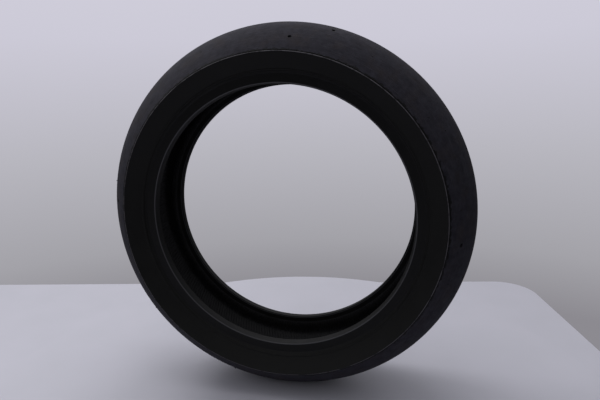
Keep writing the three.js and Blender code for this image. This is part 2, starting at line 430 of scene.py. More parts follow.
RING = ring_tree()
print("ring tree:", len(RING.nodes), "nodes")

# %% [markdown]
# ## From modifier to finished piece
# The evaluated shape is kept as a plain mesh and the modifier is removed, so that the piece
# is what it looks like. A ring turned from an outline can come out with its faces in, so
# its volume is measured, and a negative one turns the faces round.

# %% Keep an evaluated shape
def volume(mesh):
    """Signed volume in cubic metres: negative if the faces look inward."""
    mesh.calc_loop_triangles()
    corners = np.empty(len(mesh.loop_triangles) * 3, np.int32)
    mesh.loop_triangles.foreach_get("vertices", corners)
    places = np.empty(len(mesh.vertices) * 3, np.float32)
    mesh.vertices.foreach_get("co", places)
    a, b, c = places.reshape(-1, 3)[corners.reshape(-1, 3).T].astype(float)
    return float(np.einsum("ij,ij->", a, np.cross(b, c)) / 6)


def keep(piece):
    """Replaces a piece's mesh by its evaluated shape, and removes its modifiers."""
    state = bpy.context.evaluated_depsgraph_get()
    mesh = bpy.data.meshes.new_from_object(
        piece.evaluated_get(state), preserve_all_data_layers=True, depsgraph=state)
    piece.modifiers.clear()
    piece.data = mesh
    mesh.name = piece.name
    finish = [made for made in mesh.materials if made][-1]
    mesh.materials.clear()
    mesh.materials.append(finish)
    mesh.polygons.foreach_set("material_index", np.zeros(len(mesh.polygons), np.int32))
    if volume(mesh) < 0:
        mesh.flip_normals()
    return piece


# %% Make, turn and fit a piece
def new_mesh(name, points, edges=(), faces=()):
    """A mesh from points in metres."""
    mesh = bpy.data.meshes.new(name)
    mesh.from_pydata(points, edges, faces)
    return mesh


def new_object(name, mesh):
    """An object in the scene."""
    made = bpy.data.objects.new(name, mesh)
    bpy.context.scene.collection.objects.link(made)
    return made


def shaped(name, mesh, tree, values):
    """A piece that a tree shapes from a mesh. Inputs are set by their identifiers."""
    piece = new_object(name, mesh)
    modifier = piece.modifiers.new("shape", "NODES")
    modifier.node_group = tree
    for item in tree.interface.items_tree:
        if item.item_type == "SOCKET" and item.in_out == "INPUT" and item.name in values:
            modifier[item.identifier] = values[item.name]
    return keep(piece)


def turn_ring(name, outline, finish, facets, marks=None, **values):
    """Turns a closed (y, r) outline, in millimetres, round the axle as a finished piece."""
    mesh = new_mesh(name, [(r * MM, y * MM, 0) for y, r in outline])
    for mark, numbers in (marks or {}).items():
        mesh.attributes.new(mark, "FLOAT", "POINT").data.foreach_set("value", numbers)
    plain = {"Facets": facets, "Relief depth": 0.0, "Relief size": 0.01, "Lip height": 0.0,
             "Wear limit": 0.0, "Raggedness": 0.0, "Finish": finish}
    return shaped(name, mesh, RING, plain | values)


def fit(piece, slot, *nodes):
    """Rides a piece on the tire and hides the CAD nodes that it stands for. slot is not used."""
    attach(piece, "root")
    if nodes:
        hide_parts(*nodes)
    faces = sum(len(p.vertices) - 2 for p in piece.data.polygons)
    print(f"{piece.name}: {faces} triangles")


def turn_pairs(facets, *rows):
    """Turns rings that both sides have. A row is the piece's name, its outline on the
    left, its finish, its slot and its CAD node."""
    for side in ("left", "right"):
        for name, outline, finish, slot, node in rows:
            line = outline if side == "left" else mirrored(outline)
            fit(turn_ring(f"{side}_{name}", line, finish, facets), slot, f"{side}_{node}")

# %% [markdown]
# ## Finish: scrubbed tread rubber
# Tread rubber is natural and synthetic rubber filled with carbon black. Riding scrubs its
# surface into a matte, dusty grey with brown and violet tints, in patches of a few
# centimetres, with fine scratches that follow the road round the tire. Where the road
# never touched it, at the ragged edge strip and in the pits, it keeps its moulded black.

# %% Start and end a finish
def material(name, roughness, specular):
    """A new material, its node tree and the output that says where a point is."""
    made = bpy.data.materials.new(name)
    made.use_nodes = True
    tree = made.node_tree
    feed(tree, tree.nodes["Principled BSDF"], {"Roughness": roughness,
                                               "Specular IOR Level": specular})
    return made, tree, add(tree, "ShaderNodeTexCoord").outputs["Object"]


def coat(made, inputs):
    """Feeds a material's main shader, and hands the material back."""
    feed(made.node_tree, made.node_tree.nodes["Principled BSDF"], inputs)
    return made


def stain(tree, skin, code, texture, low, high, most=1.0):
    """Lays a colour over a skin where a texture rises from low to high."""
    share = add(tree, "ShaderNodeMapRange", {"Value": texture, "From Min": low,
                                             "From Max": high, "To Max": most})
    return add(tree, "ShaderNodeMix", {0: share, 6: skin, 7: linear(code)}, data_type="RGBA")


# %% Make the tread finish
def tread_finish(name, dusty, bare):
    """Scrubbed rubber from a dusty and a bare colour, moulded black where it isn't worn."""
    made, tree, place = material(name, 0.9, 0.2)

    # Dust patches of about 12 mm, tinted brown in places of about 25 mm.
    patches = add(tree, "ShaderNodeTexNoise", {"Vector": place, "Scale": 85.0,
                  "Detail": 6.0, "Roughness": 0.7})
    skin = stain(tree, linear(bare), dusty, patches, 0.3, 0.7)
    tints = add(tree, "ShaderNodeTexNoise", {"Vector": place, "Scale": 40.0, "Detail": 5.0})
    skin = stain(tree, skin, "352e2c", tints, 0.48, 0.7, 0.35)

    # Scratches about 1 mm wide and 60 mm long, running round the tire.
    streaks = add(tree, "ShaderNodeTexNoise", {"Vector": round_the_axle(tree, place, 5, 900),
                  "Scale": 1.0, "Detail": 3.0, "Roughness": 0.6})
    skin = stain(tree, skin, "4a474b", streaks, 0.56, 0.74, 0.35)

    # Pores and grit of about 2 mm, a few of them nearly black.
    pores = add(tree, "ShaderNodeTexVoronoi", {"Vector": place, "Scale": 260.0,
                                               "Randomness": 1.0})
    skin = stain(tree, skin, "151516", pores, 0.16, 0.05, 0.5)

    # Scuffs: pale grazes of about 10 mm, a few to each side of the tire.
    grazes = add(tree, "ShaderNodeTexNoise", {"Vector": round_the_axle(tree, place, 11, 70),
                 "Scale": 1.0, "Detail": 8.0, "Roughness": 0.75})
    skin = stain(tree, skin, "625f63", grazes, 0.69, 0.75, 0.6)

    # Untouched rubber shows where the ring's `worn` mark is low.
    worn = add(tree, "ShaderNodeAttribute", attribute_name="worn").outputs["Fac"]
    colour = add(tree, "ShaderNodeMix", {0: worn, 6: linear("0b0b0c"), 7: skin},
                 data_type="RGBA")

    # The flash is thin and dry, so dust greys it, in broken lengths of about 15 mm. Its pale
    # grey 5a585c is also a painted highlight: the bright line the lip catches from the lamps.
    lip = add(tree, "ShaderNodeAttribute", attribute_name="lip").outputs["Fac"]
    lengths = add(tree, "ShaderNodeTexNoise", {"Vector": round_the_axle(tree, place, 18, 60),
                  "Scale": 1.0, "Detail": 4.0, "Roughness": 0.7})
    whole = add(tree, "ShaderNodeMapRange", {"Value": lengths, "From Min": 0.38,
                "From Max": 0.52, "To Min": 0.25})
    pale = add(tree, "ShaderNodeMath", {0: lip, 1: whole}, operation="MULTIPLY")
    colour = add(tree, "ShaderNodeMix", {0: pale, 6: colour, 7: linear("5a585c")},
                 data_type="RGBA")
    rough = add(tree, "ShaderNodeMapRange", {"Value": worn, "To Min": 0.75, "To Max": 0.92})

    # Grain 1.5 mm across for the scrubbed skin, and the scratches pressed into it.
    grain = add(tree, "ShaderNodeTexNoise", {"Vector": place, "Scale": 650.0, "Detail": 3.0,
                                             "Roughness": 0.7})
    height = add(tree, "ShaderNodeMath", {0: grain, 1: streaks}, operation="ADD")
    deep = add(tree, "ShaderNodeMath", {0: height, 1: worn}, operation="MULTIPLY")
    bump = add(tree, "ShaderNodeBump", {"Strength": 0.55, "Distance": 0.0004, "Height": deep})
    return coat(made, {"Base Color": colour, "Roughness": rough, "Normal": bump})


centre_rubber = tread_finish("scrubbed_tread_rubber_center", "36353d", "232229")
shoulder_rubber = tread_finish("scrubbed_tread_rubber_shoulder", "34333b", "212027")
print("tread finishes:", centre_rubber.name, shoulder_rubber.name)

# %% [markdown]
# ## Finish: moulded sidewall and bead rubber
# A sidewall comes out of a polished mould nearly black, with a satin skin. The mould was
# turned on a lathe, so it leaves faint circles under a millimetre apart, and years of
# handling leave a grey haze. The bead is the same rubber without wax: its heel is worn
# smooth where it was pushed over the rim. A narrow pale band there is partly that wear and
# partly a painted highlight on the heel's rounded corner.

# %% Make the moulded finish
HEEL, HEEL_BAND = 0.2182, 0.0012     # radius of the heel band, worn by the rim and painted with a highlight, and half its width, in metres


def moulded_finish(name, black, haze, roughness, specular, heel_rub_and_highlight=False):
    """Mould-black rubber under a haze. The flag makes the heel band lighter and glossier: wear,
    plus a painted highlight.
    """
    made, tree, place = material(name, roughness, specular)
    radius = from_axle(tree, place)

    # Haze in soft patches of about 40 mm, drawn out round the tire.
    cloud = add(tree, "ShaderNodeTexNoise", {"Vector": round_the_axle(tree, place, 5, 40),
                "Scale": 1.0, "Detail": 5.0, "Roughness": 0.65})
    colour = stain(tree, linear(black), haze, cloud, 0.4, 0.75)
    rough = add(tree, "ShaderNodeMapRange", {"Value": cloud, "From Min": 0.3,
                "From Max": 0.7, "To Min": roughness - 0.07, "To Max": roughness + 0.07})
    if heel_rub_and_highlight:
        # The heel band: its pale colour 4c4c4f is partly wear from the rim and partly a painted
        # highlight on the heel's corner.
        beyond = add(tree, "ShaderNodeMath", {0: radius, 1: HEEL}, operation="SUBTRACT")
        apart = add(tree, "ShaderNodeMath", {0: beyond}, operation="ABSOLUTE")
        near = add(tree, "ShaderNodeMapRange", {"Value": apart, "From Min": HEEL_BAND,
                   "From Max": 0.0002}, interpolation_type="SMOOTHSTEP")
        colour = add(tree, "ShaderNodeMix", {0: near, 6: colour, 7: linear("4c4c4f")},
                     data_type="RGBA")
        rough = add(tree, "ShaderNodeMix", {0: near, 2: rough, 3: 0.26}, data_type="FLOAT")

    # Lathe circles 0.9 mm apart, uneven, and a fine skin grain of 0.8 mm.
    wobble = add(tree, "ShaderNodeMath", {0: cloud, 1: 0.0012, 2: radius},
                 operation="MULTIPLY_ADD")
    phase = add(tree, "ShaderNodeMath", {0: wobble, 1: math.tau / 0.0009},
                operation="MULTIPLY")
    circles = add(tree, "ShaderNodeMath", {0: phase}, operation="SINE")
    grain = add(tree, "ShaderNodeTexNoise", {"Vector": place, "Scale": 1250.0,
                                             "Detail": 2.0})
    height = add(tree, "ShaderNodeMath", {0: circles, 1: 0.12, 2: grain},
                 operation="MULTIPLY_ADD")
    bump = add(tree, "ShaderNodeBump", {"Strength": 0.3, "Distance": 0.00015,
                                        "Height": height})
    return coat(made, {"Base Color": colour, "Roughness": rough, "Normal": bump})


sidewall_rubber = moulded_finish("moulded_sidewall_rubber", "10100f", "181817", 0.58, 0.2)
chafer_rubber = moulded_finish("moulded_bead_rubber", "0a0a0a", "101011", 0.6, 0.24, True)
liner_rubber = moulded_finish("cured_liner_rubber", "2a2a2b", "363638", 0.6, 0.35)
print("moulded finishes:", sidewall_rubber.name, chafer_rubber.name, liner_rubber.name)

# %% [markdown]
# ## The tread
# The outside band is three strips of rubber: a harder centre and two softer shoulders. At
# each tread edge the mould halves meet and squeeze out a thin flash, a lip under a
# millimetre high with a narrow groove beside it. Scrubbing stops short of it, so a dark
# strip with a bitten edge is left along the lip. The strip's outline is a few points
# measured back from the edge, along the surface and out of it.

# %% Outline of a tread shoulder
COMPOUND_SPLIT = 35.0
slope = (crown_radius(HALF_WIDTH) - crown_radius(HALF_WIDTH - 0.01)) / 0.01
along = Vector((-1, -slope)).normalized()          # back from the edge, over the tread
outward = Vector((-slope, 1)).normalized()         # out of the tread
edge_point = Vector((HALF_WIDTH, EDGE))
SEAM_RADIUS = EDGE - 0.25                          # where shoulder and sidewall meet


def from_edge(distance, height):
    """A point at a distance back from the tread edge and a height above the tread."""
    base = edge_point + along * distance + outward * height
    return (base.x, base.y)


# The lip and its groove: distance back from the edge, and height above the tread.
LIP = [(4.2, 0.0), (3.8, 0.0), (3.4, -0.12), (3.05, -0.5), (2.65, -0.62), (2.25, -0.5),
       (1.95, 0.05), (1.7, 0.4), (1.3, 0.55), (0.8, 0.5), (0.4, 0.3), (0.2, 0.0)]
seam = (from_edge(0.1, -0.2)[0], SEAM_RADIUS)
cap_inner = shifted(carcass, CAP_INNER_AT)


def at_y(line, y):
    """The point of a line, running outward, at y."""
    for a, b in zip(line, line[1:]):
        if a[0] <= y <= b[0]:
            return (y, a[1] + (b[1] - a[1]) * (y - a[0]) / (b[0] - a[0]))
    raise ValueError(f"the line doesn't reach y {y}")


worn_stop = from_edge(4.6, 0)[0]
crown_line = fine([(y, crown_radius(y)) for y in np.linspace(COMPOUND_SPLIT, worn_stop, 24)],
                  1.1)
lip_line = [from_edge(*p) for p in LIP] + [seam]
split_inner = at_y(cap_inner, COMPOUND_SPLIT)
hidden = fine(stretch(cap_inner, split_inner[1], SEAM_RADIUS), 4.0)[::-1]
shoulder_outline = crown_line + lip_line + hidden
distances = [math.dist(p, edge_point) * MM for p in crown_line]
distances += [p[0] * MM for p in LIP] + [0.0] + [1.0] * len(hidden)
shoulder_marks = {
    "relief": [1.0] * len(crown_line) + [0.0] * (len(lip_line) + len(hidden)),
    "lip": [0.0] * len(crown_line) + [1.0 if p[1] > 0.1 else 0.0 for p in LIP]
    + [0.0] * (1 + len(hidden)),
    "from_edge": distances,
}
print("shoulder outline:", len(shoulder_outline), "points")

# %% Turn the three tread strips
TREAD_FACETS = 900
SCRUBBED = {"Relief depth": 0.00025, "Relief size": 0.004}
shoulders = {}
for side, line in (("left", shoulder_outline), ("right", mirrored(shoulder_outline))):
    shoulders[side] = turn_ring(
        f"tread_{side}_shoulder_rubber", line, shoulder_rubber, TREAD_FACETS, shoulder_marks,
        **SCRUBBED, **{"Lip height": 0.0008, "Wear limit": 0.0052, "Raggedness": 0.018})
top_line = fine([(y, crown_radius(y)) for y in np.linspace(-COMPOUND_SPLIT, COMPOUND_SPLIT, 41)],
                1.8)
bottom = [p for p in fine(cap_inner, 4.0) if 0 < p[0] < COMPOUND_SPLIT - 0.5] + [split_inner]
bottom = bottom[::-1] + [(0, carcass[0][1] + CAP_INNER_AT)] + mirrored(bottom)
center = turn_ring(
    "tread_center_rubber", top_line + bottom, centre_rubber, TREAD_FACETS,
    marks={"relief": [1.0 if abs(p[0]) < COMPOUND_SPLIT - 1 else 0.0 for p in top_line]
           + [0.0] * len(bottom),
           "from_edge": [1.0] * (len(top_line) + len(bottom))},
    **SCRUBBED)
fit(center, "tread_center_rubber", "tread_center")

# %% [markdown]
# ## Wear-gauge pits
# Small round pits let a mechanic measure how much tread is left. They stand in pairs, one
# near the tread edge and one further in, and the pairs repeat a quarter turn apart on both
# shoulders. A pit is a cut, so a tapered pin is set along the surface normal at each place
# and taken out of the rubber with one boolean.

# %% Drill the pits
FIRST_PIT = 84.9                    # degrees from +X toward +Z
PIT_ROWS = [(59.5, 0.0), (31.8, -11.4)]
PIN = [(1.9, -2.6), (2.5, -2.1), (2.7, 0.0), (2.75, 1.5)]
PIN_SIDES = 20


def surface_matrix(y, degrees):
    """A place on the tread at y and an angle, with its Z along the surface normal."""
    point, deeper = Vector(under_crown(y, 0)), Vector(under_crown(y, 1))
    out = (point - deeper).normalized()
    turn = math.radians(degrees)
    x, z = math.cos(turn), math.sin(turn)
    spot = Vector((point.y * x, point.x, point.y * z)) * MM
    normal = Vector((out.y * x, out.x, out.y * z))
    return Matrix.Translation(spot) @ normal.to_track_quat("Z", "Y").to_matrix().to_4x4()


def pin_mesh(name, places, rings, sides):
    """Closed round pins, one at each place. rings are (radius, height) pairs, in mm."""
    points, faces = [], []
    for place in places:
        start = len(points)
        for radius, height in rings:
            for k in range(sides):
                turn = math.tau * k / sides
                spot = Vector((radius * math.cos(turn), radius * math.sin(turn), height))
                points.append(place @ (spot * MM))
        for level in range(len(rings) - 1):
            for k in range(sides):
                a, b = start + level * sides + k, start + level * sides + (k + 1) % sides
                faces.append((a, b, b + sides, a + sides))
        last = start + (len(rings) - 1) * sides
        faces.append(tuple(range(start + sides - 1, start - 1, -1)))
        faces.append(tuple(range(last, last + sides)))
    return new_mesh(name, points, faces=faces)


def drill(piece, places):
    """Cuts a tapered pit at each place."""
    cutter = new_object("pit_cutter", pin_mesh("pit_cutter", places, PIN, PIN_SIDES))
    cutter.data.materials.append(piece.data.materials[0])
    cut = piece.modifiers.new("pits", "BOOLEAN")
    cut.operation = "DIFFERENCE"
    cut.solver = "EXACT"
    cut.object = cutter
    keep(piece)
    bpy.data.objects.remove(cutter)
    # The cut leaves a few triangles with no area, which are folded into their neighbours.
    mesh = bmesh.new()
    mesh.from_mesh(piece.data)
    bmesh.ops.triangulate(mesh, faces=mesh.faces)
    bmesh.ops.dissolve_degenerate(mesh, dist=0.003 * MM, edges=mesh.edges)
    mesh.to_mesh(piece.data)
    mesh.free()


def pits(inside, signs):
    """The places of the pits inside or outside the compound seam."""
    return [surface_matrix(sign * y, FIRST_PIT + lag + 90 * quarter)
            for y, lag in PIT_ROWS if (y < COMPOUND_SPLIT) == inside
            for quarter in range(4) for sign in signs]


for side, sign in (("left", 1), ("right", -1)):
    drill(shoulders[side], pits(False, (sign,)))
    fit(shoulders[side], "tread_shoulder_rubber", f"tread_{side}_shoulder")
drill(center, pits(True, (1, -1)))
print("pits drilled")

# %% [markdown]
# ## Sidewalls
# From the tread edge the sidewall slopes in, slightly hollow, to the rim-centring ring: a
# raised circle that should stand evenly above the rim's flange, so that a fitter can see
# that the bead has seated. Below the ring a shallow channel leads to the bead.

# %% Turn the sidewalls
TURN_UP_END = 251.0                  # radius where the turned-up ply stops
TURN_UP_REACH = 3.7                  # how far beside the core's middle the ply turns up
FOOT_RADIUS = 233.45                 # where the sidewall rubber meets the chafer
turn_up = rounded([
    (*crossing(shifted(carcass, GAP), TURN_UP_END), 0),
    (*crossing(shifted(carcass, GAP), 246.5), 8),
    (57.2, 238.6, 8),
    (CORE_Y + TURN_UP_REACH, 232.4, 6),
    (CORE_Y + TURN_UP_REACH, 221, 0),
])
slope_line = rounded([
    (seam[0], SEAM_RADIUS, 0),
    (76.2, 258.9, 20),
    (69.0, 248.9, 60),
    (62.2, 239.2, 1.2),
    (62.3, 237.7, 0.6),
    (61.4, 236.2, 0.8),
    (59.6, 235.2, 1.2),
    (58.5, FOOT_RADIUS, 0),
], steps=5)
inner_foot = crossing(shifted(turn_up, PLY + GAP), FOOT_RADIUS)
inner_side = stretch(shifted(carcass, GAP), SEAM_RADIUS, TURN_UP_END + 0.6)
inner_side += stretch(shifted(turn_up, PLY + GAP), None, FOOT_RADIUS)
sidewall_outline = fine(slope_line, 1.0) + fine(inner_side, 3.0)[::-1]
SIDE_FACETS = 600
turn_pairs(SIDE_FACETS, ("sidewall_rubber", sidewall_outline, sidewall_rubber,
                         "sidewall_rubber", "sidewall"))

# %% [markdown]
# ## Chafers
# The chafer is the rubber shoe of the bead. Outside it is flat, to lie against the rim's
# flange. Then it turns round the heel, tapers inward by five degrees as the seat, ends in
# the thin toe and comes a little way up inside.

# %% Turn the chafers
SEAT = 217.2                         # radius of the bead seat at the heel
TOE_Y = 43.55                        # inner edge of the seat
WRAP = 0.6                           # thickness of the wrap round the core
CHAFER = 1.3                         # thickness of the chafer beside the flange
FLAP_END = 226.15                    # radius where the chafer meets the liner, inside
core_foot = radii("left_bead_core")[0]
floor_radius = core_foot - 2 * GAP - WRAP - PLY - GAP
chafer_outline = rounded([
    (58.5, FOOT_RADIUS, 0),
    (57.3, 232.3, 1.2),
    (FLANGE, 231.2, 1.5),
    (FLANGE, SEAT, 2.8),
    (TOE_Y, TOE_RADIUS - 0.3, 0.9),
    (TOE_Y, FLAP_END, 0),
], steps=8)
pocket = rounded([
    (CARCASS_FOOT + LINER_AT, FLAP_END, 0),
    (CARCASS_FOOT + LINER_AT, floor_radius, 2.2),
    (FLANGE - CHAFER, floor_radius, 2.2),
    (FLANGE - CHAFER, 228, 2),
    (*inner_foot, 0),
], steps=4)
turn_pairs(SIDE_FACETS, ("chafer_rubber", fine(chafer_outline, 1.0) + fine(pocket, 3.0),
                         chafer_rubber, "chafer_rubber", "chafer"))

# %% [markdown]
# ## The liner
# The inside is skinned with a rubber that holds air. In the press a bladder swells against
# it, and the bladder's fine grooves, which let trapped air out, leave a rib every few
# millimetres from bead to bead. One rib is a low strip of triangular section on the liner. The
# tree sets copies of it round the axle and makes them real.

# %% Turn the liner
LINER_FACETS = 300
liner = turn_ring("inner_liner_skin", layer(LINER_AT, LINER_AT - LINER, FLAP_END, 5.0),
                  liner_rubber, LINER_FACETS)
fit(liner, "liner_rubber", "inner_liner")

# %% Lay one rib and repeat it
RIB_COUNT = 300                      # one every 6 mm at the crown
RIB_HEIGHT = 0.7
RIB_FOOT = 228                       # radius where the ribs stop, above the toe
RIB_SLANT = math.radians(9)          # how far a rib leads from bead to bead


def strand(name, half, section, slant=0.0):
    """A strand from bead to bead. half is its route on +Y, from the centre line outward,
    and section its outline as (across, inward) points."""
    route = mirrored(half[1:])[::-1] + [(0, half[0][1])] + half[1:]
    reach = max(y for y, r in half)
    sides = len(section)
    points, faces = [], []
    for i, (y, r) in enumerate(route):
        before = Vector(route[max(i - 1, 0)])
        run = (Vector(route[min(i + 1, len(route) - 1)]) - before).normalized()
        for across, inward in section:
            place = Vector((y, r)) + Vector((run.y, -run.x)) * inward
            turn = slant * y / reach + across / r
            points.append(Vector((place.y * math.sin(turn), place.x,
                                  place.y * math.cos(turn))) * MM)
        if i:
            a, b = (i - 1) * sides, i * sides
            faces += [(a + k, a + (k + 1) % sides, b + (k + 1) % sides, b + k)
                      for k in range(sides)]
    faces += [tuple(reversed(range(sides))),
              tuple(range(len(points) - sides, len(points)))]
    return new_mesh(name, points, faces=faces)


def repeat_tree():
    """Copies of the modifier's own mesh, turned evenly round the axle."""
    tree, given = start_tree("repeated_round_the_axle", "Pieces", ("Piece", "Geometry"),
                             ("Count", "Int"))
    points = add(tree, "GeometryNodePoints", {"Count": given["Count"]})
    index = add(tree, "GeometryNodeInputIndex")
    turn = add(tree, "ShaderNodeCombineXYZ", {"Y": angle_of(tree, index, given["Count"])})
    copies = add(tree, "GeometryNodeInstanceOnPoints", {
        "Points": points, "Instance": given["Piece"], "Rotation": turn})
    return end_tree(tree, copies, given)


REPEAT = repeat_tree()


def repeat(name, mesh, count, finish):
    """A piece made of copies of a mesh round the axle."""
    mesh.shade_smooth()
    return shaped(name, mesh, REPEAT, {"Count": count, "Finish": finish})


rib_route = thin(stretch(shifted(carcass, LINER_AT - LINER), None, RIB_FOOT), 0.15)
rib = strand("liner_rib", rib_route, [(-1.0, -0.1), (0, RIB_HEIGHT), (1.0, -0.1)], RIB_SLANT)
fit(repeat("inner_liner_ribs", rib, RIB_COUNT, liner_rubber), "liner_rubber")

# %% [markdown]
# ## Vent nibs
# Air leaves the mould through holes about a millimetre across, and the rubber follows it,
# leaving whiskers. Most wear or snap off, and a few short stubs stay on the shoulders.
# Geometry Nodes set them in rows round the tire, drop most by a seeded chance, and give
# the rest their own length and lean.

# %% Grow the nibs
def nib_tree():
    """A row of nibs round the axle, some of them missing, no two alike."""
    tree, given = start_tree(
        "vent_nibs", "Nibs", ("Nib", "Geometry"), ("Count", "Int"), ("Radius", "Float"),
        ("Axle", "Float"), ("Tilt", "Float"), ("Kept", "Float"), ("Seed", "Int"))
    index = add(tree, "GeometryNodeInputIndex")
    angle = angle_of(tree, index, given["Count"])
    points = add(tree, "GeometryNodePoints", {"Count": given["Count"], "Position": at_angle(
        tree, given["Radius"], given["Axle"], angle)})
    chance = add(tree, "FunctionNodeRandomValue", {"Probability": given["Kept"],
                 "Seed": given["Seed"]}, data_type="BOOLEAN")
    lean = add(tree, "FunctionNodeRandomValue", {0: (-0.5, -0.5, 0.0), 1: (0.5, 0.5, 6.28),
               "Seed": given["Seed"]}, data_type="FLOAT_VECTOR")
    tilt = add(tree, "ShaderNodeCombineXYZ", {"X": given["Tilt"]})
    first = add(tree, "ShaderNodeVectorMath", {0: lean, 1: tilt}, operation="ADD")
    stand = add(tree, "FunctionNodeEulerToRotation", {0: first})
    spin = add(tree, "ShaderNodeCombineXYZ", {"Y": angle})
    turn = add(tree, "FunctionNodeEulerToRotation", {0: spin})
    both = add(tree, "FunctionNodeRotateRotation", {"Rotation": stand, "Rotate By": turn},
               rotation_space="GLOBAL")
    length = add(tree, "FunctionNodeRandomValue", {0: (0.8, 0.8, 0.35), 1: (1.1, 1.1, 1.0),
                 "Seed": given["Seed"]}, data_type="FLOAT_VECTOR")
    nibs = add(tree, "GeometryNodeInstanceOnPoints", {"Points": points, "Selection": chance,
               "Instance": given["Nib"], "Rotation": both, "Scale": length})
    return end_tree(tree, nibs, given)


NIBS = nib_tree()
NIB_ROWS = [(63.0, 193), (52.0, 210)]        # place along the axle and seed
VENTS, KEPT = 60, 0.1                        # vents in a row, and the share left
LEFT_SEED_STEP = 11                          # so that the two sides differ
nib_shape = pin_mesh("nib", [Matrix.Identity(4)],
                     [(0.75, -0.6), (0.7, 0.2), (0.55, 1.6), (0.5, 3.2), (0.3, 3.6)], 8)
for side, sign in (("left", 1), ("right", -1)):
    for row, (y, seed) in enumerate(NIB_ROWS):
        spot, deeper = Vector(under_crown(y, 0)), Vector(under_crown(y, 1))
        out = (spot - deeper).normalized()
        nibs = shaped(f"{side}_vent_nibs_{row + 1}", nib_shape.copy(), NIBS, {
            "Count": VENTS, "Radius": spot.y * MM, "Axle": sign * spot.x * MM,
            "Tilt": -sign * math.atan2(out.x, out.y), "Kept": KEPT,
            "Seed": seed + (LEFT_SEED_STEP if side == "left" else 0),
            "Finish": sidewall_rubber})
        fit(nibs, "tread_shoulder_rubber")

# %% [markdown]
# ## Finish and shape of what the rubber hides
# Inside are the layers that carry the load. Their finishes are cords and hard rubber:
# cords are drawn as stripes at their real spacing, across the tire for the carcass and
# round it for the belt.

# %% Make the hidden finishes
def plain_finish(name, dark, light, roughness):
    """Unfinished rubber: mottled, with a fine grain of 1 mm."""
    made, tree, place = material(name, roughness, 0.35)
    cloud = add(tree, "ShaderNodeTexNoise", {"Vector": place, "Scale": 60.0, "Detail": 4.0})
    grain = add(tree, "ShaderNodeTexNoise", {"Vector": place, "Scale": 1000.0})
    bump = add(tree, "ShaderNodeBump", {"Strength": 0.4, "Distance": 0.0002, "Height": grain})
    return coat(made, {"Base Color": stain(tree, linear(dark), light, cloud, 0.0, 1.0),
                       "Normal": bump})


base_rubber = plain_finish("hard_base_rubber", "161617", "202021", 0.8)
cushion_rubber = plain_finish("soft_cushion_rubber", "1c1918", "272323", 0.8)
filler_rubber = plain_finish("hard_filler_rubber", "18181a", "222224", 0.7)


def cord_finish(name, gum, thread, across, spacing):
    """Cords in rubber. across runs them from bead to bead, otherwise round the tire."""
    made, tree, place = material(name, 0.75, 0.35)
    parts = add(tree, "ShaderNodeSeparateXYZ", {0: place}).outputs
    if across:
        angle = add(tree, "ShaderNodeMath", {0: parts["X"], 1: parts["Z"]},
                    operation="ARCTAN2")
        turns = 2 * round(math.pi * 0.3 / spacing)
        phase = add(tree, "ShaderNodeMath", {0: angle, 1: float(turns)}, operation="MULTIPLY")
    else:
        phase = add(tree, "ShaderNodeMath", {0: parts["Y"], 1: math.tau / spacing},
                    operation="MULTIPLY")
    wave = add(tree, "ShaderNodeMath", {0: phase}, operation="COSINE")
    height = add(tree, "ShaderNodeMapRange", {"Value": wave, "From Min": -0.6,
                                              "From Max": 1.0})
    cloud = add(tree, "ShaderNodeTexNoise", {"Vector": place, "Scale": 90.0, "Detail": 3.0})
    shown = add(tree, "ShaderNodeMath", {0: height, 1: cloud}, operation="MULTIPLY")
    bump = add(tree, "ShaderNodeBump", {"Strength": 0.6, "Distance": 0.0004,
                                        "Height": height})
    return coat(made, {"Base Color": stain(tree, linear(gum), thread, shown, 0.0, 1.0),
                       "Normal": bump})


belt_cord = cord_finish("rubbered_aramid_belt_cord", "2a2620", "8a7444", False, 0.0015)
ply_cord = cord_finish("rubbered_rayon_ply_cord", "24211e", "7a7266", True, 0.0013)
print("hidden finishes:", base_rubber.name, cushion_rubber.name, filler_rubber.name,
      belt_cord.name, ply_cord.name)

# %% [markdown]
# ## Base rubber and the wound belt
# Under the tread strips lies a thin, hard base rubber, and under that the belt. It is one
# cord, wound side by side from one shoulder to the other, on a strip of gum. The cord is a
# path that a tree walks along the belt's section while it turns round the axle. A real
# cord is 0.7 mm thick with a turn every millimetre. This one is a little coarser, to stay
# light enough to handle.

# %% Turn the base and the belt's gum
BELT_END = 268.0                     # radius where the belt stops at the shoulder
HIDDEN_FACETS = 240
BELT_SHEET = 0.35                    # gum under the belt cord
base_ring = turn_ring("base_rubber_layer", layer(BASE_AT, BASE_AT - BASE, EDGE, 5.0),
                      base_rubber, HIDDEN_FACETS)
fit(base_ring, "base_rubber", "tread_base")
belt_gum = turn_ring("belt_gum_strip", layer(GAP + BELT_SHEET, GAP, BELT_END, 6.0), cushion_rubber,
                     HIDDEN_FACETS)
fit(belt_gum, "cushion_rubber", "zero_degree_belt")

# %% Wind the belt cord
def tube_tree(tree, curve, sides, radius):
    """A smooth tube along a curve."""
    section = add(tree, "GeometryNodeCurvePrimitiveCircle", {"Resolution": sides,
                                                             "Radius": radius})
    tube = add(tree, "GeometryNodeCurveToMesh", {"Curve": curve, "Profile Curve": section,
                                                 "Fill Caps": True})
    return add(tree, "GeometryNodeSetShadeSmooth", {"Geometry": tube, "Shade Smooth": True},
               domain="FACE")


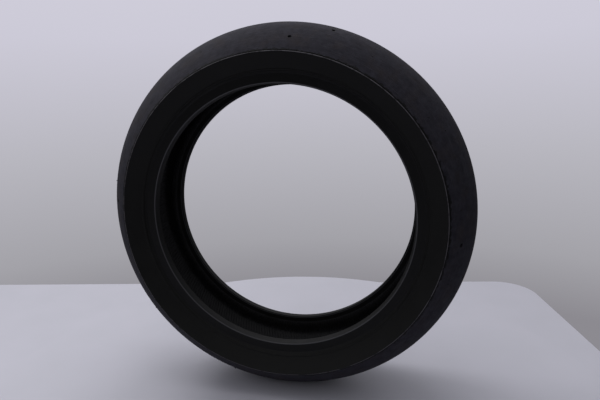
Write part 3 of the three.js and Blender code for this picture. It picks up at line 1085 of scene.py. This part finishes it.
def winding_tree():
    """One cord wound round the axle. The modifier's mesh is the path of its section."""
    tree, given = start_tree("wound_cord", "Cord", ("Path", "Geometry"), ("Turns", "Int"),
                             ("Steps", "Int"), ("Cord radius", "Float"), ("Sides", "Int"))
    path = add(tree, "GeometryNodeMeshToCurve", {0: given["Path"]})
    count = add(tree, "ShaderNodeMath", {0: given["Turns"], 1: given["Steps"]},
                operation="MULTIPLY")
    line = add(tree, "GeometryNodeMeshLine", {"Count": count})
    cord = add(tree, "GeometryNodeMeshToCurve", {0: line})
    index = add(tree, "GeometryNodeInputIndex")
    last = add(tree, "ShaderNodeMath", {0: count, 1: 1.0}, operation="SUBTRACT")
    share = add(tree, "ShaderNodeMath", {0: index, 1: last}, operation="DIVIDE")
    spot = add(tree, "GeometryNodeSampleCurve", {"Curves": path, "Factor": share},
               mode="FACTOR").outputs["Position"]
    parts = add(tree, "ShaderNodeSeparateXYZ", {0: spot}).outputs
    place = at_angle(tree, parts["X"], parts["Y"], angle_of(tree, index, given["Steps"]))
    wound = add(tree, "GeometryNodeSetPosition", {"Geometry": cord, "Position": place})
    tube = tube_tree(tree, wound, given["Sides"], given["Cord radius"])
    return end_tree(tree, tube, given)


CORD_RADIUS = 0.4
CORD_PITCH = 1.5
CORD_BED = 0.3                       # the cord sinks 0.05 mm into its gum
half = stretch(shifted(carcass, GAP + CORD_BED + CORD_RADIUS), None, BELT_END + 0.5)
path = mirrored(half[1:])[::-1] + [(0, half[0][1])] + half[1:]
length = sum(math.dist(p, q) for p, q in zip(path, path[1:]))
belt_path = new_mesh("belt_path", [(r * MM, y * MM, 0) for y, r in path],
                     [(k, k + 1) for k in range(len(path) - 1)])
turns = round(length / CORD_PITCH)
winding = shaped("belt_cord_winding", belt_path, winding_tree(), {
    "Turns": turns, "Steps": 90, "Sides": 5, "Cord radius": CORD_RADIUS * MM,
    "Finish": belt_cord})
fit(winding, "belt_cord", "zero_degree_belt")
print("belt:", turns, "turns over", round(length), "mm")

# %% [markdown]
# ## Radial plies
# Two plies of parallel cords run straight from bead to bead in a thin sheet of gum. The
# outer one ends beside the bead core. The inner one turns up round the core and ends on
# the sidewall. A ply is a gum sheet, turned like the other rings, with one cord repeated
# round the axle half sunk in it. Real cords lie a millimetre apart, and these nearly five.

# %% Lay the outer ply
CORD_COUNT = 400
SHEET, SHEET_DEPTH = 0.3, 0.3        # thickness of a ply's gum, and how deep it lies
CORD_SECTION = [(0.42, 0), (0, 0.42), (-0.42, 0), (0, -0.42)]
CORD_SLACK = 0.35                    # how far a cord may cut across its curve
ply_foot = CORE_R - CORE_HALF_HEIGHT


def lay_ply(name, sheet_outline, route, node):
    """A ply: a gum sheet and the cords repeated in it."""
    sheet = turn_ring(f"{name}_gum", sheet_outline, cushion_rubber, HIDDEN_FACETS)
    fit(sheet, "cushion_rubber", node)
    cord = strand("ply_cord", thin(route, CORD_SLACK), CORD_SECTION)
    fit(repeat(f"{name}_cords", cord, CORD_COUNT, ply_cord), "ply_cord", node)


lay_ply("outer_ply", layer(-SHEET_DEPTH, -SHEET_DEPTH - SHEET, ply_foot, 6.0),
        stretch(shifted(carcass, -PLY / 2), None, ply_foot), "carcass_ply_outer")

# %% Lay the inner ply, which turns up round the beads
RISE_START = 222.0                   # radius where the ply starts to rise beside the core
beside_ply = CARCASS_FOOT - PLY - GAP
under_core = floor_radius + PLY + GAP
core_side = stretch(shifted(carcass, -PLY - GAP), None, under_core + 2.0)
core_side = rounded([(*p, 0) for p in core_side] + [
    (beside_ply, under_core, 1.8),
    (CORE_Y + TURN_UP_REACH, under_core, 1.8),
    (CORE_Y + TURN_UP_REACH, RISE_START, 0),
], steps=4) + turn_up[::-1][1:]
core_side = thin(core_side, 0.04)


def ply_line(depth):
    """The inner ply's line at a depth from its core side, starting on the centre line."""
    line = shifted(core_side, -depth)
    return [(0, carcass[0][1] - PLY - GAP - depth)] + line[1:]


lay_ply("inner_ply", both_sides(fine(ply_line(SHEET_DEPTH), 6.0),
                                fine(ply_line(SHEET_DEPTH + SHEET), 6.0)),
        ply_line(PLY / 2), "carcass_ply_inner")

# %% Turn the cushions and the fillers
FILLER_TIP, FILLER_FOOT = 245.4, 227.5       # radii between which the filler stands


def between(first, second, top, foot):
    """The outline between two falling lines, from one radius to another."""
    return fine(stretch(first, top, foot), 2.0) + fine(stretch(second, top, foot), 2.0)[::-1]


cushion_line = between(shifted(carcass, BELT_AT), shifted(carcass, GAP), BELT_END - GAP,
                       EDGE + GAP)
filler_line = between(shifted(turn_up, -GAP), shifted(carcass, GAP), FILLER_TIP, FILLER_FOOT)
turn_pairs(HIDDEN_FACETS,
           ("cushion_strip", cushion_line, cushion_rubber, "cushion_rubber",
            "belt_edge_cushion"),
           ("filler_wedge", filler_line, filler_rubber, "filler_rubber", "bead_filler"))

# %% [markdown]
# ## Bead cores and wraps
# A bead core is a bundle of bronze-coated steel wire hoops, here five rows in a hexagon,
# held together by a wrap of woven tape. The hoops differ only in radius and place, so one
# tree makes a circle for each point it is given and gives it the wire's thickness.

# %% Finish the wire and the tape
def wire_finish():
    """Bronze-coated high-tensile wire: warm and bright, with darker drawn patches."""
    made, tree, place = material("bronze_coated_bead_wire", 0.35, 0.5)
    drawn = add(tree, "ShaderNodeTexNoise", {"Vector": round_the_axle(tree, place, 12, 3000),
                "Scale": 1.0, "Detail": 4.0})
    rough = add(tree, "ShaderNodeMapRange", {"Value": drawn, "To Min": 0.25, "To Max": 0.5})
    return coat(made, {"Base Color": stain(tree, linear("6e4a26"), "b98a52", drawn, 0.0, 1.0),
                       "Roughness": rough, "Metallic": 1.0})


WARP_THREADS = 1408                  # round the tire, one to the millimetre


def woven_finish():
    """Woven nylon tape dipped in rubber, its threads 1 mm apart both ways."""
    made, tree, place = material("rubbered_woven_nylon_tape", 0.85, 0.3)
    parts = add(tree, "ShaderNodeSeparateXYZ", {0: place}).outputs
    angle = add(tree, "ShaderNodeMath", {0: parts["X"], 1: parts["Z"]}, operation="ARCTAN2")
    warp = add(tree, "ShaderNodeMath", {0: angle, 1: float(WARP_THREADS)},
               operation="MULTIPLY")
    around = add(tree, "ShaderNodeMath", {0: parts["Y"], 1: from_axle(tree, place)},
                 operation="ADD")
    weft = add(tree, "ShaderNodeMath", {0: around, 1: math.tau / 0.001},
               operation="MULTIPLY")
    first = add(tree, "ShaderNodeMath", {0: warp}, operation="SINE")
    second = add(tree, "ShaderNodeMath", {0: weft}, operation="SINE")
    weave = add(tree, "ShaderNodeMath", {0: first, 1: second}, operation="MULTIPLY")
    height = add(tree, "ShaderNodeMapRange", {"Value": weave, "From Min": -1.0})
    bump = add(tree, "ShaderNodeBump", {"Strength": 0.6, "Distance": 0.0002,
                                        "Height": height})
    return coat(made, {"Base Color": stain(tree, linear("2a2824"), "77715f", height, 0.0, 1.0),
                       "Normal": bump})


bead_wire, wrap_fabric = wire_finish(), woven_finish()
print("bead finishes:", bead_wire.name, wrap_fabric.name)

# %% Wind the bead wires
def hoop_tree():
    """A wire hoop for each point of the modifier's mesh: radius in X, place on the axle in Y."""
    tree, given = start_tree("wire_hoops", "Hoops", ("Points", "Geometry"),
                             ("Wire radius", "Float"), ("Facets", "Int"), ("Sides", "Int"))
    place = add(tree, "GeometryNodeInputPosition")
    parts = add(tree, "ShaderNodeSeparateXYZ", {0: place}).outputs
    radius = add(tree, "ShaderNodeCombineXYZ", {k: parts["X"] for k in "XYZ"})
    axle = add(tree, "ShaderNodeCombineXYZ", {"Y": parts["Y"]})
    points = add(tree, "GeometryNodeMeshToPoints", {0: given["Points"]})
    sized = add(tree, "GeometryNodeStoreNamedAttribute", {"Geometry": points, "Name": "size",
                "Value": radius}, data_type="FLOAT_VECTOR", domain="POINT")
    moved = add(tree, "GeometryNodeSetPosition", {"Geometry": sized, "Position": axle})
    size = add(tree, "GeometryNodeInputNamedAttribute", {"Name": "size"},
               data_type="FLOAT_VECTOR")
    circle = add(tree, "GeometryNodeCurvePrimitiveCircle", {"Resolution": given["Facets"],
                                                            "Radius": 1.0})
    hoops = add(tree, "GeometryNodeInstanceOnPoints", {"Points": moved, "Instance": circle,
                "Rotation": (math.pi / 2, 0, 0), "Scale": size})
    curves = add(tree, "GeometryNodeRealizeInstances", {"Geometry": hoops})
    tubes = tube_tree(tree, curves, given["Sides"], given["Wire radius"])
    return end_tree(tree, tubes, given)


HOOPS = hoop_tree()
WIRE_RADIUS = 0.48
HOOP_FACETS = 180
WIRE_PITCH = 1.0                     # between the wires of a row
ROW_PITCH = 1.13                     # between the rows
ROWS = (3, 4, 5, 4, 3)
for side, sign in (("left", 1), ("right", -1)):
    spots = [((CORE_R + (row - 2) * ROW_PITCH) * MM,
              sign * (CORE_Y + (k - (count - 1) / 2) * WIRE_PITCH) * MM, 0)
             for row, count in enumerate(ROWS) for k in range(count)]
    wires = shaped(f"{side}_bead_wires", new_mesh("hoop_places", spots), HOOPS, {
        "Wire radius": WIRE_RADIUS * MM, "Facets": HOOP_FACETS, "Sides": 6, "Finish": bead_wire})
    fit(wires, "bead_wire", f"{side}_bead_core")

# %% Turn the wraps
wrap_inside, wrap_top = CORE_HALF_WIDTH + GAP, FILLER_FOOT - GAP
wrap_outside = wrap_inside + WRAP
wrap_floor = core_foot - GAP
wrap_line = rounded([
    (CORE_Y + wrap_outside, wrap_top, 0),
    (CORE_Y + wrap_outside, wrap_floor - WRAP, 1.6),
    (CORE_Y - wrap_outside, wrap_floor - WRAP, 1.6),
    (CORE_Y - wrap_outside, wrap_top, 0),
    (CORE_Y - wrap_inside, wrap_top, 0),
    (CORE_Y - wrap_inside, wrap_floor, 1.0),
    (CORE_Y + wrap_inside, wrap_floor, 1.0),
    (CORE_Y + wrap_inside, wrap_top, 0),
], steps=3)
turn_pairs(HIDDEN_FACETS, ("wrap_tape", wrap_line, wrap_fabric, "wrap_fabric", "bead_wrap"))

# %% [markdown]
# ## Table and daylight
# The tire stands on a plain pale round tabletop in a plain room. The room is a soft
# gradient, pale above and darker below eye level, which is what black rubber needs: it
# shows its shape only by the brightness that it mirrors. Two large soft lamps, one overhead
# and one at the upper left, give the tread its grey sheen.

# %% Set the table
def table_finish():
    """Pale matte laminate with a faint cloud, so that it isn't flat."""
    made, tree, place = material("matte_laminate_tabletop", 0.5, 0.4)
    cloud = add(tree, "ShaderNodeTexNoise", {"Vector": place, "Scale": 9.0, "Detail": 3.0})
    return coat(made, {"Base Color": stain(tree, linear("babac2"), "c2c1ca", cloud, 0.0, 1.0)})


TABLE_RADIUS, TABLE_THICKNESS, TABLE_CENTRE = 565.0, 30.0, (20.0, -80.0)
top = cad_box[0][2] / MM
laminate = table_finish()


def slab(name, border, base):
    """A flat stage slab, its corners rounded, from border points in millimetres."""
    shape = bmesh.new()
    low = [shape.verts.new((x * MM, y * MM, base * MM)) for x, y in border]
    face = shape.faces.new(low)
    raised = bmesh.ops.extrude_face_region(shape, geom=[face])["geom"]
    upper = [v for v in raised if isinstance(v, bmesh.types.BMVert)]
    bmesh.ops.translate(shape, verts=upper, vec=(0, 0, TABLE_THICKNESS * MM))
    rims = [e for e in shape.edges if abs(e.verts[0].co.z - e.verts[1].co.z) < 1e-6]
    bmesh.ops.bevel(shape, geom=rims, offset=3 * MM, segments=3, affect="EDGES")
    bmesh.ops.recalc_face_normals(shape, faces=shape.faces)
    mesh = bpy.data.meshes.new(name)
    shape.to_mesh(mesh)
    shape.free()
    mesh.materials.append(laminate)
    new_object(name, mesh)


def arc(centre_x, centre_y, radius, start, end, steps):
    """Points on an arc, its ends in degrees."""
    angles = [math.radians(start + (end - start) * k / steps) for k in range(steps + 1)]
    return [(centre_x + radius * math.cos(a), centre_y + radius * math.sin(a)) for a in angles]


slab("round_tabletop", arc(*TABLE_CENTRE, TABLE_RADIUS, 0, 360, 240)[:-1],
     top - TABLE_THICKNESS)

# A wider bench below it, with round corners, turned a little.
BENCH_CORNERS = ((560, 420), (-1160, 420), (-1160, -1160), (560, -1160))
BENCH_TURN = Matrix.Rotation(math.radians(10.8), 2)
bench = [tuple(BENCH_TURN @ Vector(spot)) for k, (x, y) in enumerate(BENCH_CORNERS)
         for spot in arc(x, y, 90, 90 * k, 90 * k + 90, 12)]
slab("bench", bench, top - 2 * TABLE_THICKNESS)
print("tabletop radius", TABLE_RADIUS, "mm, its top at", round(top, 1))

# %% Light the room
WALL = [(0.1, "8c8a90"), (0.2, "a3a2a8"), (0.38, "b7b6be"), (0.6, "cccad7"), (0.95, "d8d6e2")]
OVERHEAD = [(0.3, "1d1d1d"), (0.5, "4b4b4c"), (0.7, "7e7e81"), (1.0, "d9d9df")]
world = bpy.data.worlds.new("pale_room")
bpy.context.scene.world = world
world.use_nodes = True
room = world.node_tree
place = add(room, "ShaderNodeTexCoord").outputs["Generated"]
parts = add(room, "ShaderNodeSeparateXYZ", {0: place}).outputs
share = add(room, "ShaderNodeMapRange", {"Value": parts["Z"], "From Min": -0.5,
                                         "From Max": 0.5})
gradients = []
for stops in (WALL, OVERHEAD):
    gradient = add(room, "ShaderNodeValToRGB", {0: share})
    elements = gradient.color_ramp.elements
    while len(elements) < len(stops):
        elements.new(0.5)
    for element, (position, code) in zip(elements, stops):
        element.position = position
        element.color = linear(code)
    gradients.append(gradient)
wall, overhead = gradients

# What lights the tire: bright overhead, dim at eye level and below, and dimmer in front
# of the tire and to its right than behind it and to its left.
open_side = add(room, "ShaderNodeVectorMath", {0: place, 1: (-0.55, 0.55, 0.35)},
                operation="DOT_PRODUCT")
opening = add(room, "ShaderNodeMapRange", {"Value": open_side, "From Min": -0.8,
              "From Max": 0.8, "To Min": 0.35, "To Max": 1.0})
light = add(room, "ShaderNodeVectorMath", {0: overhead, "Scale": opening}, operation="SCALE")
seen = add(room, "ShaderNodeLightPath").outputs["Is Camera Ray"]
both = add(room, "ShaderNodeMix", {0: seen, 6: light, 7: wall}, data_type="RGBA")
feed(room, room.nodes["Background"], {"Color": both, "Strength": 1.0})

for name, spot, size, power in (("ceiling_softbox", (-0.25, 0.35, 1.9), 1.6, 16.0),
                                ("left_softbox", (-1.3, 0.35, 1.25), 0.8, 9.0)):
    lamp = bpy.data.lights.new(name, "AREA")
    lamp.shape = "SQUARE"
    lamp.size, lamp.energy, lamp.color = size, power, (0.98, 0.975, 1.0)
    softbox = new_object(name, lamp)
    softbox.location = spot
    softbox.rotation_euler = (-softbox.location).to_track_quat("-Z", "Y").to_euler()
print("room:", world.name, "with", len(bpy.data.lights), "lamps")

# %% Place the camera
lens = bpy.data.cameras.new("camera")
lens.lens, lens.sensor_width = 28.8, 36.0
camera = bpy.data.objects.new("camera", lens)
bpy.context.scene.collection.objects.link(camera)
AZIMUTH, ELEVATION, ROLL = (math.radians(angle) for angle in (12.345, 12.89, -1.0))
turned = (Matrix.Rotation(AZIMUTH, 4, "Z") @ Matrix.Rotation(math.pi / 2 - ELEVATION, 4, "X")
          @ Matrix.Rotation(ROLL, 4, "Z"))
camera.matrix_world = Matrix.Translation((0.19475, -0.78164, 0.20612)) @ turned
bpy.context.scene.camera = camera
bpy.context.scene.view_settings.view_transform = "Standard"
print("camera up", [round(v, 4) for v in turned.col[1][:3]])
